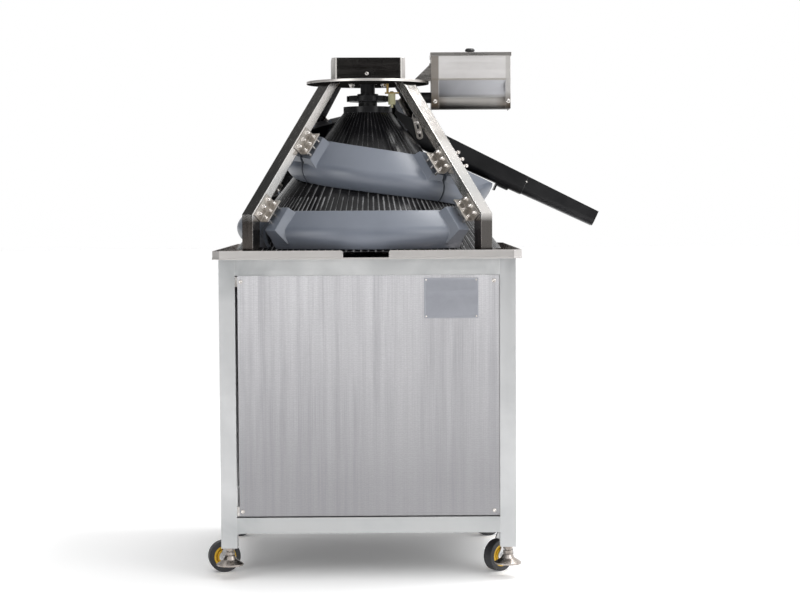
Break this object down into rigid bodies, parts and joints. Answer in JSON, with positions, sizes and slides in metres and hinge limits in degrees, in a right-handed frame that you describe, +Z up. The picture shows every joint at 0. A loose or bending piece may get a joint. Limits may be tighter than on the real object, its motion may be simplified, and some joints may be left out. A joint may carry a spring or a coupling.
{
  "type": "conical dough rounder",
  "caption": "Floor-standing conical dough rounder: a fluted cone turns inside a rising spiral track on a castered cabinet, with a discharge chute and a flour duster.",
  "frame": {"origin": "on the floor under the cone's axis", "axes": "X to the right towards the chute's outlet, Y away from the viewer, Z up"},
  "size_m": [1.2868, 0.96, 1.683],
  "materials": {
    "stainless": "bright rolled stainless steel",
    "panel_steel": "light brushed stainless sheet",
    "plain_steel": "plain turned and pressed steel",
    "track_grey": "cast, grey satin coat",
    "cone_black": "cast, black non-stick coat",
    "chute_black": "black non-stick coat",
    "drive_blue": "blue-grey machine paint",
    "motor_dark": "dark grey paint",
    "black_plastic": "moulded black plastic",
    "sensor_cream": "olive cream plastic",
    "sensor_brass": "yellow passivated plate",
    "hub_yellow": "moulded yellow plastic",
    "tyre_dark": "dark solid rubber"
  },
  "bodies": {
    "machine": {"corner_posts": "stainless", "top_rails": "stainless", "bottom_rails": "stainless", "tray": "stainless", "tower_legs": "stainless", "top_plate": "stainless", "top_cover": "stainless", "duster_box": "stainless", "duster_arm": "stainless", "front_panel": "panel_steel", "rear_panel": "panel_steel", "left_panel": "panel_steel", "right_panel": "panel_steel", "drive_beams": "plain_steel", "panel_tabs": "plain_steel", "caster_plates": "plain_steel", "track_brackets": "plain_steel", "track_studs": "plain_steel", "chute_strap": "plain_steel", "top_bearing": "plain_steel", "track_lower_front": "track_grey", "track_lower_left": "track_grey", "track_lower_rear": "track_grey", "track_right": "track_grey", "track_upper_front": "track_grey", "track_upper_left": "track_grey", "track_upper_rear": "track_grey", "chute_trough": "chute_black", "chute_extension": "chute_black", "chute_bracket": "chute_black", "chute_crossbar": "chute_black", "gearbox": "drive_blue", "drive_motor": "drive_blue", "duster_motor": "motor_dark", "cable_gland": "black_plastic", "sensor": "sensor_cream", "sensor_bracket": "sensor_brass"},
    "cone": {"cone": "cone_black", "cone_cap": "cone_black", "cone_shaft": "chute_black", "trigger_disc": "chute_black"},
    "duster_roller": {"duster_roller": "plain_steel"},
    "duster_lid": {"duster_lid": "stainless", "lid_knob": "black_plastic"},
    "caster_front_left": {"caster_fork_front_left": "plain_steel"},
    "wheel_front_left": {"wheel_hub_front_left": "hub_yellow", "tyre_front_left": "tyre_dark"},
    "foot_front_left": {"foot_front_left": "plain_steel"},
    "caster_front_right": {"caster_fork_front_right": "plain_steel"},
    "wheel_front_right": {"wheel_hub_front_right": "hub_yellow", "tyre_front_right": "tyre_dark"},
    "foot_front_right": {"foot_front_right": "plain_steel"},
    "caster_rear_left": {"caster_fork_rear_left": "plain_steel"},
    "wheel_rear_left": {"wheel_hub_rear_left": "hub_yellow", "tyre_rear_left": "tyre_dark"},
    "foot_rear_left": {"foot_rear_left": "plain_steel"},
    "caster_rear_right": {"caster_fork_rear_right": "plain_steel"},
    "wheel_rear_right": {"wheel_hub_rear_right": "hub_yellow", "tyre_rear_right": "tyre_dark"},
    "foot_rear_right": {"foot_rear_right": "plain_steel"}
  },
  "joints": [
    {"name": "cone_spin", "type": "hinge", "parent": "machine", "child": "cone", "pos_m": [0, 0, 1.3], "axis": [0, 0, 1], "continuous": true},
    {"name": "duster_roller_spin", "type": "hinge", "parent": "machine", "child": "duster_roller", "pos_m": [0.34, 0, 1.521], "axis": [1, 0, 0], "continuous": true},
    {"name": "lid_lift", "type": "slide", "parent": "machine", "child": "duster_lid", "axis": [0, 0, 1], "range_m": [0, 0.12]},
    {"name": "swivel_front_left", "type": "hinge", "parent": "machine", "child": "caster_front_left", "pos_m": [-0.435, -0.307, 0.125], "axis": [0, 0, 1], "continuous": true},
    {"name": "wheel_spin_front_left", "type": "hinge", "parent": "caster_front_left", "child": "wheel_front_left", "pos_m": [-0.46398, -0.31477, 0.05], "axis": [0.2588, -0.9659, 0], "continuous": true},
    {"name": "foot_screw_front_left", "type": "slide", "parent": "machine", "child": "foot_front_left", "axis": [0, 0, 1], "range_m": [-0.05, 0]},
    {"name": "swivel_front_right", "type": "hinge", "parent": "machine", "child": "caster_front_right", "pos_m": [0.435, -0.307, 0.125], "axis": [0, 0, 1], "continuous": true},
    {"name": "wheel_spin_front_right", "type": "hinge", "parent": "caster_front_right", "child": "wheel_front_right", "pos_m": [0.41202, -0.32628, 0.05], "axis": [0.6428, -0.766, 0], "continuous": true},
    {"name": "foot_screw_front_right", "type": "slide", "parent": "machine", "child": "foot_front_right", "axis": [0, 0, 1], "range_m": [-0.05, 0]},
    {"name": "swivel_rear_left", "type": "hinge", "parent": "machine", "child": "caster_rear_left", "pos_m": [-0.435, 0.307, 0.125], "axis": [0, 0, 1], "continuous": true},
    {"name": "wheel_spin_rear_left", "type": "hinge", "parent": "caster_rear_left", "child": "wheel_rear_left", "pos_m": [-0.46398, 0.31477, 0.05], "axis": [-0.2588, -0.9659, 0], "continuous": true},
    {"name": "foot_screw_rear_left", "type": "slide", "parent": "machine", "child": "foot_rear_left", "axis": [0, 0, 1], "range_m": [-0.05, 0]},
    {"name": "swivel_rear_right", "type": "hinge", "parent": "machine", "child": "caster_rear_right", "pos_m": [0.435, 0.307, 0.125], "axis": [0, 0, 1], "continuous": true},
    {"name": "wheel_spin_rear_right", "type": "hinge", "parent": "caster_rear_right", "child": "wheel_rear_right", "pos_m": [0.40681, 0.29674, 0.05], "axis": [0.342, -0.9397, 0], "continuous": true},
    {"name": "foot_screw_rear_right", "type": "slide", "parent": "machine", "child": "foot_rear_right", "axis": [0, 0, 1], "range_m": [-0.05, 0]}
  ]
}
